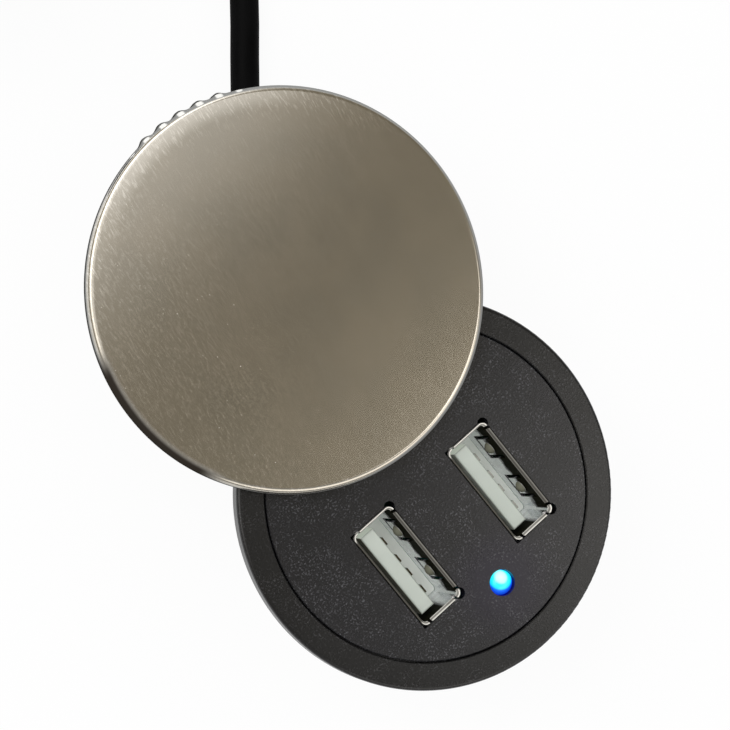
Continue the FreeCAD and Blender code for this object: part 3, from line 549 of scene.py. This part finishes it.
def spark_plastic(name, base, lighter, painted_light_spill=None):
    """The fine pitted face of a spark-eroded mould, with grains painted lighter as glints. Around the
    blue light it may take a painted glow of that light."""
    finish = Finish(name, {"Specular IOR Level": 0.45})
    place = finish.place()
    grain = finish.noise(place, 4.5, 2, 0.6)
    cloud = finish.noise(place, 0.35, 3)
    wear_and_highlight = finish.noise(place, 0.12, 2).fade(0.35, 0.65)
    # painted glints: grains mixed towards a lighter colour
    bright = grain.fade(0.53, 0.7) * (0.25 + 0.75 * cloud.fade(0.42, 0.6))
    plain = finish.mixed(wear_and_highlight, base, tuple(1.25 * part for part in base))
    # painted light: around the blue light the plastic turns bluish, as that light's glow would light it
    if painted_light_spill:
        x, y, _ = finish.parts(finish.place(light_centre))
        plain = finish.mixed(((x * x + y * y) ** 0.5).fade(8, 1.5), plain, painted_light_spill)
    finish.give("Base Color", finish.mixed(bright, plain, lighter))
    finish.give("Roughness", 0.2 + 0.1 * grain)
    finish.relief(grain * 0.7 + cloud * 0.3, 0.012)
    return finish.material


dress(spark_plastic("body_plastic", (0.006, 0.006, 0.0063), (0.04, 0.04, 0.042)), "housing", "base_cap")

# The port panel
# A round panel of the same plastic that snaps into the flange with four hooked legs. A thin dark
# line shows all round it.
# the last colour is the painted spill of the blue light on the panel
panel = spark_plastic("panel_plastic", (0.008, 0.008, 0.0095), (0.075, 0.075, 0.082), (0.012, 0.01, 0.019))
dress(panel, "port_panel")

# The ports and the plug's contacts
# Folded shells of nickel-plated steel with spring fingers and a flared mouth. White nylon tongues
# carry four gold-plated contacts each. The plug's sleeve and tongue are made the same way.
port_across = 0.0072
port_along = -0.0045
# Each port's side, its place across, and the painted shade colour behind its tongue, darker in the left port
# than in the right.
port_sides = [
    ("left", -port_across, (0.1, 0.1, 0.075)),
    ("right", port_across, (0.38, 0.4, 0.36)),
]


def port_steel(name, centre=None):
    """Nickel-plated steel. A port's shell has painted shade high up on the wall across from its tongue and
    in one corner, is dull on the bumps of its fingers and has painted highlights on the lips of its mouth,
    most of all at both ends."""
    finish = Finish(name, {"Specular IOR Level": 0.0})
    place = finish.place(centre or (0, 0, 0))
    rolled = finish.noise(finish.stretched(place, (5, 5, 0.7)), 1, 3)
    stains = finish.noise(place, 0.8, 2).fade(0.3, 0.7)
    metal = finish.mixed(stains, (0.8, 0.82, 0.85), (0.7, 0.71, 0.73))
    solid = 1.0
    rough = 0.2 + 0.12 * rolled
    if centre:
        x, y, z = finish.parts(place)
        end_on = (y * y) ** 0.5
        across = x.fade(2.44, 2.5) * end_on.fade(6.3, 6.0)
        # painted shade: high up on the wall across from the tongue the steel turns nearly black and loses
        # its shine
        shade = across * (z + 0.8 * stains).fade(17.5, 19.1)
        bump = x.fade(1.4, 1.5) * x.fade(2.5, 2.42) * end_on.fade(5.6, 5.2)
        lip = z.fade(21.22, 21.28)
        # painted highlights on the lip: two bands along it, strongest on both ends, faint on the long sides
        # and least on the side by the tongue
        line = z.fade(21.4, 21.34) + z.fade(21.64, 21.7)
        wear_and_highlight = 0.06 + 0.9 * y.fade(5.6, 6.1) + 0.75 * y.fade(-5.6, -6.1) + 0.15 * x.fade(2.0, 2.5)
        # painted shade in one corner at the far end, by the tongue
        corner = y.fade(-5.9, -6.2) * x.fade(1.0, 0.2)
        shade = shade + corner
        metal = finish.mixed(shade, metal, (0.01, 0.01, 0.006))
        metal = finish.mixed(bump, metal, (0.2, 0.2, 0.15))
        edge = finish.mixed(wear_and_highlight * (0.35 + 0.65 * line), (0.05, 0.045, 0.035), (0.9, 0.87, 0.8))
        metal = finish.mixed(lip, metal, edge)
        solid = (1.0 - 0.9 * bump) * (1.0 - 0.8 * lip) * (1.0 - 0.95 * shade)
        rough = rough + 0.5 * bump
    finish.give("Base Color", metal)
    finish.give("Metallic", solid)
    finish.give("Roughness", rough)
    finish.relief(rolled, 0.003)
    return finish.material


def nylon(name, tip, deep, tip_height, deep_height, centre=None, gap_shade=None):
    """Milky nylon. It passes light on, and a painted glow and a colour painted lighter further down stand in
    for that, most at one end of a port's tongue. The narrow space between the tongue and the shell
    behind it is painted in shade."""
    finish = Finish(name, {"Specular IOR Level": 0.4})
    place = finish.place(centre or (0, 0, 0))
    cloud = finish.noise(place, 0.6, 2)
    x, y, z = finish.parts(place)
    depth = z.fade(tip_height, deep_height)
    # painted glow, growing further down
    glow = finish.mixed(depth, (0, 0, 0), (0.13, 0.14, 0.125))
    # painted light: the colour turns lighter further down
    white = finish.mixed(depth, finish.mixed(cloud, tip, tuple(1.1 * part for part in tip)), deep)
    if centre:
        below = z.fade(20.4, 20.2)
        # painted shade on the tongue's side face that stands close to the shell
        back = below * x.fade(-1.85, -1.93)
        # painted glow, stronger at one end of the tongue low down
        glow = finish.mixed(below * y.fade(5.45, 5.53), glow, (0.24, 0.26, 0.22))
        glow = finish.mixed(back, glow, (0.01, 0.01, 0.008))
        white = finish.mixed(back, white, gap_shade)
    finish.give("Base Color", white)
    finish.give("Emission Color", glow)
    finish.give("Emission Strength", 1.0)
    finish.give("Roughness", 0.42 + 0.12 * cloud)
    finish.relief(finish.noise(place, 3, 2), 0.01)
    return finish.material


def gold(name, base, dull):
    finish = Finish(name, {"Metallic": 1.0})
    wear = finish.noise(finish.place(), 2.5, 3)
    finish.give("Base Color", finish.mixed(wear.fade(0.4, 0.7), base, dull))
    finish.give("Roughness", 0.24 + 0.16 * wear)
    finish.relief(wear, 0.004)
    return finish.material


dress(port_steel("plug_steel"), "plug_shell")
for side, across, gap_shade in port_sides:
    centre = (across, port_along, 0)
    dress(port_steel(side + "_port_steel", centre), "usb_shell_" + side)
    milky = nylon(side + "_port_nylon", (0.49, 0.53, 0.475), (0.86, 0.88, 0.84), 19.5, 15.0, centre, gap_shade)
    dress(milky, "usb_insulator_" + side)
dress(nylon("plug_nylon", (0.60, 0.64, 0.58), (0.6, 0.64, 0.58), -1.0, -2.0), "plug_insulator")
# The ports' contacts are not coloured as gold: painted shade makes them dark in the left port, and painted
# light makes them pale grey in the right one.
dress(gold("left_port_gold_painted_shade", (0.07, 0.06, 0.04), (0.04, 0.035, 0.025)), "usb_contacts_left")
dress(gold("right_port_gold_painted_light", (0.34, 0.35, 0.33), (0.28, 0.29, 0.27)), "usb_contacts_right")
dress(gold("plug_gold", (0.86, 0.62, 0.28), (0.74, 0.52, 0.24)), "plug_contacts")

# The light
# A round blue light with a domed tip, pushed up into its hole in the panel. It glows nearly white in
# the middle, with a painted highlight a little off its middle, and deep blue in the skirt.


def light_finish():
    """Rings of glow round a place a little off the light's middle, from nearly white to deep blue. The
    near-white patch off the middle is a painted highlight.
    """
    constants = {"Roughness": 0.15, "Base Color": (0.02, 0.2, 0.6), "Emission Strength": 1.0}
    finish = Finish("light_plastic", constants)
    x, y, _ = finish.parts(finish.place(light_centre))
    # the rings' middle is moved off the light's middle to place the painted highlight
    x, y = x - 0.3, y - 0.55
    out = (x * x + y * y) ** 0.5
    stops = [
        (0.0, (0.85, 1.0, 1.0)), (0.28, (0.6, 1.0, 1.0)), (0.42, (0.02, 1.0, 0.95)),
        (0.66, (0.0, 0.65, 1.0)), (0.75, (0.0, 0.02, 0.7)), (1.0, (0.0, 0.0, 0.4)),
    ]
    finish.give("Emission Color", finish.node("ShaderNodeValToRGB", {"stops": stops}, {"Fac": out / 2}))
    return finish.material


dress(light_finish(), "light_lens")

# The cover
# A pressed cap of nickel-plated steel, brushed in one direction and rounded at its rim, with five
# finger ribs opposite the pivot. It turns on the pivot screw and is seen here fully open.
cover_radius = 0.0223
cover_underside = 0.0220
cover_height = 0.0022
cover_wall = 0.0007
rim_round = 0.0007
foot_round = 0.0003
pivot_y = 0.0139
open_turn = math.radians(172.9)
cover_centre = (math.sin(open_turn) * pivot_y, pivot_y - math.cos(open_turn) * pivot_y, 0)
rib_count = 5
rib_pitch = math.radians(6.1)
rib_reach = 0.00034
rib_top = 0.0236
rib_power = 1.2
ribbed_steps = 240
plain_steps = 320
wall_rows = 20
cover_hub = 0.001
rim_edge = 0.0001


def quarter(radius, height, size, start, end, steps):
    """Profile points on a round of that size about a centre, from one angle to another in degrees."""
    angles = np.radians(np.linspace(start, end, steps))
    return np.stack([radius + size * np.cos(angles), height + size * np.sin(angles)], 1)


def cover_points():
    """The cap's profile, from near the middle of its inside, out, down, under the foot, up and over
    the rim to near the middle of its top, carried round. Its outer wall swells at each rib by a power
    of a squared cosine, which fades out towards the rim."""
    top = cover_underside + cover_height
    inner = cover_radius - cover_wall
    ceiling = top - cover_wall
    wall = np.linspace(cover_underside + foot_round, top - rim_round, wall_rows + 2)[1:-1]
    profile = np.vstack([
        [(cover_hub, ceiling), (inner, ceiling), (inner, cover_underside)],
        quarter(cover_radius - foot_round, cover_underside + foot_round, foot_round, -90, 0, 5),
        np.stack([0 * wall + cover_radius, wall], 1),
        quarter(cover_radius - rim_round, top - rim_round, rim_round, 0, 90, 14),
        [(cover_radius - rim_round - rim_edge, top), (cover_radius * 0.5, top), (cover_hub, top)],
    ])
    rib_half = rib_pitch * rib_count / 2
    fine = np.linspace(-rib_half, rib_half, ribbed_steps)
    coarse = np.linspace(rib_half, 2 * math.pi - rib_half, plain_steps + 2)[1:-1]
    around = np.concatenate([fine, coarse])
    wave = np.cos(math.pi * around / rib_pitch) ** 2
    swell = np.where(np.abs(around) <= rib_half, wave, 0) ** rib_power
    radius, height = profile[:, :1], profile[:, 1:]
    outside = np.clip((radius - cover_radius + rim_round) / rim_round, 0, 1) * (height > cover_underside)
    fading = np.clip((rib_top + rim_round / 2 - height) / rim_round, 0, 1)
    radii = radius + rib_reach * swell * outside * fading
    turns = around + open_turn - math.pi / 2
    return np.stack([
        cover_centre[0] + radii * np.cos(turns), cover_centre[1] + radii * np.sin(turns), height + 0 * radii
    ], -1)


def brushed_nickel():
    """Brush lines along the cover, with short dashes and fine bright nicks, lifted by painted highlight most
    by the grip, near the rim and on one side. The wall is duller, with painted shade at its foot and higher
    on one side, a painted shadow over one side of the rim and painted highlights on the crests of the ribs."""
    finish = Finish("brushed_nickel", {"Specular IOR Level": 0.0})
    place = finish.place(cover_centre, open_turn)
    x, y, z = finish.parts(place)
    radius = (x * x + y * y) ** 0.5
    lines = finish.noise(finish.stretched(place, (5, 0.9, 1)), 1, 3, 0.6)
    broad = finish.noise(finish.stretched(place, (0.9, 0.1, 1)), 1, 3)
    cloud = finish.noise(place, 0.1, 2)
    grip = y.fade(-6, -19)
    near = radius.fade(18, 22)
    # painted highlight: the brush lines, dashes and nicks grow brighter near the rim, by the grip and
    # towards one side
    streaks_and_highlights = lines.fade(0.48, 0.72) * (0.02 + (0.08 + 0.75 * near) * grip + 0.18 * x.fade(2, 18))
    streaks_and_highlights = streaks_and_highlights + 0.2 * radius.fade(19.5, 21.6) * grip
    streaks_and_highlights = streaks_and_highlights + 0.45 * radius.fade(19.5, 21.4) * (-1 * y / radius).fade(0.75, 0.95)
    dashes = finish.noise(finish.stretched(place, (4.5, 2, 1)), 1, 1).fade(0.52, 0.75)
    streaks_and_highlights = streaks_and_highlights + 0.2 * dashes * x.fade(4, 14)
    seeds = finish.cells(place, 0.9, {"voronoi_dimensions": "2D"})
    nicks = 0.45 * seeds.fade(0.08, 0.02) * finish.noise(place, 0.8, 2).fade(0.5, 0.68) * x.fade(-6, 10)
    metal = finish.mixed(cloud.fade(0.3, 0.7), (0.53, 0.5, 0.44), (0.58, 0.54, 0.47))
    lines_and_highlights = finish.mixed(streaks_and_highlights + nicks, metal, (0.98, 0.95, 0.89))
    wave = x.maths("ARCTAN2", x, -1 * y) * (math.pi / rib_pitch)
    ribbed = radius.fade(21.9, 22.05) * y.fade(-20, -21.2)
    # painted highlights on the crests of the ribs
    crest_highlight = (wave + math.pi / 2).sine() ** 2 * ribbed * z.fade(23.5, 23.65)
    # painted shade: the wall goes darker towards its foot, higher up on one side
    height = z - 0.45 * (x / radius).fade(0.6, -0.1)
    wall = finish.mixed(height.fade(23.4, 22.9), (0.3, 0.3, 0.29), (0.05, 0.05, 0.045))
    wall = finish.mixed(crest_highlight.fade(0.6, 0.9), wall, (0.95, 0.94, 0.9))
    side = height.fade(23.72, 23.62)
    # painted shadow: one side of the rim and wall turns nearly black and loses its metal
    dark = ((x + 0.2 * y) / radius).fade(0.9, 0.97) * radius.fade(21.2, 22.0)
    finish.give("Base Color", finish.mixed(dark, finish.mixed(side, lines_and_highlights, wall), (0.03, 0.025, 0.02)))
    finish.give("Metallic", (1.0 - side) * (1.0 - dark))
    finish.give("Roughness", 0.1 + 0.07 * lines + 0.03 * broad + 0.3 * nicks + 0.3 * side)
    finish.relief(lines * 0.8 + broad * 0.2, 0.0015)
    return finish.material


cover = surface("cover", cover_points(), capped=True)
cover.data.materials.append(brushed_nickel())
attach(cover, "cover")
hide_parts("cover_cap")

# Under the cover
# A black moulded plate that fills the cap from below, held by three screws, and the shoulder
# screw that the cover turns on, with its bush, washers and the pin that stops its travel.


def moulded(name, base, rough, grain):
    """Smooth moulded plastic with flow clouds and a fine grain of that many waves a millimetre."""
    finish = Finish(name, {"Specular IOR Level": 0.45})
    place = finish.place()
    cloud = finish.noise(place, 0.3, 3)
    fine = finish.noise(place, grain, 2)
    lighter = tuple(min(1, 1.3 * part) for part in base)
    finish.give("Base Color", finish.mixed(cloud.fade(0.3, 0.7), base, lighter))
    finish.give("Roughness", rough + 0.15 * fine)
    finish.relief(fine, 0.01)
    return finish.material


def turned_metal(name, base, rough):
    """Machined metal: fine level tool lines and a few stains."""
    finish = Finish(name, {"Metallic": 1.0})
    place = finish.place()
    lines = finish.noise(finish.stretched(place, (0.5, 0.5, 12)), 1, 3)
    stains = finish.noise(place, 0.9, 3).fade(0.45, 0.7)
    finish.give("Base Color", finish.mixed(stains, base, tuple(0.8 * part for part in base)))
    finish.give("Roughness", rough + 0.15 * lines)
    finish.relief(lines, 0.004)
    return finish.material


dress(moulded("liner_plastic", (0.012, 0.012, 0.012), 0.4, 3), "cover_liner")
fastener = turned_metal("fastener_steel", (0.5, 0.49, 0.47), 0.28)
dress(fastener, "liner_screws", "pivot_screw", "spring_washer", "travel_stop_pin")
dress(fastener, "base_screws", "board_screws")
dress(turned_metal("pivot_brass", (0.72, 0.5, 0.22), 0.26), "pivot_bush")
dress(moulded("washer_plastic", (0.72, 0.72, 0.68), 0.3, 2), "friction_washer")

# The circuit board
# Green glass laminate under the ports, with copper tracks, two chips, four resistors, two
# capacitors in dark sleeves, the light's tinned legs and the cord's two leads.


def laminate():
    """Green lacquer, a little lighter over the copper tracks, which run between random cells."""
    finish = Finish("board_laminate", {"Specular IOR Level": 0.5})
    place = finish.place()
    settings = {"feature": "DISTANCE_TO_EDGE"}
    tracks = finish.cells(place, 0.35, settings).fade(0.1, 0.06)
    weave = finish.noise(finish.stretched(place, (3, 3, 1)), 1, 2)
    green = finish.mixed(weave, (0.012, 0.1, 0.045), (0.02, 0.13, 0.06))
    finish.give("Base Color", finish.mixed(tracks, green, (0.05, 0.22, 0.09)))
    finish.give("Roughness", 0.3 + 0.15 * weave)
    finish.relief(tracks, 0.03)
    return finish.material


def capacitor_can():
    """An aluminium can in a dark plain sleeve that is shrunk over its rim."""
    finish = Finish("capacitor_can")
    place = finish.place()
    bare = finish.parts(place)[2].fade(14.75, 14.85)
    fine = finish.noise(place, 2, 2)
    finish.give("Base Color", finish.mixed(bare, (0.015, 0.02, 0.035), (0.7, 0.7, 0.7)))
    finish.give("Metallic", bare)
    finish.give("Roughness", 0.3 + 0.15 * fine)
    finish.relief(fine, 0.01)
    return finish.material


dress(laminate(), "circuit_board")
dress(moulded("chip_plastic", (0.012, 0.012, 0.013), 0.5, 8), "charge_chips", "chip_resistors")
dress(capacitor_can(), "input_capacitors")
dress(turned_metal("light_lead_tin", (0.6, 0.6, 0.58), 0.3), "light_leads")
dress(rubbery("lead_red", (0.4, 0.012, 0.012), 0.4, 3), "power_lead_positive")
dress(rubbery("lead_black", (0.01, 0.01, 0.01), 0.4, 3), "power_lead_negative")
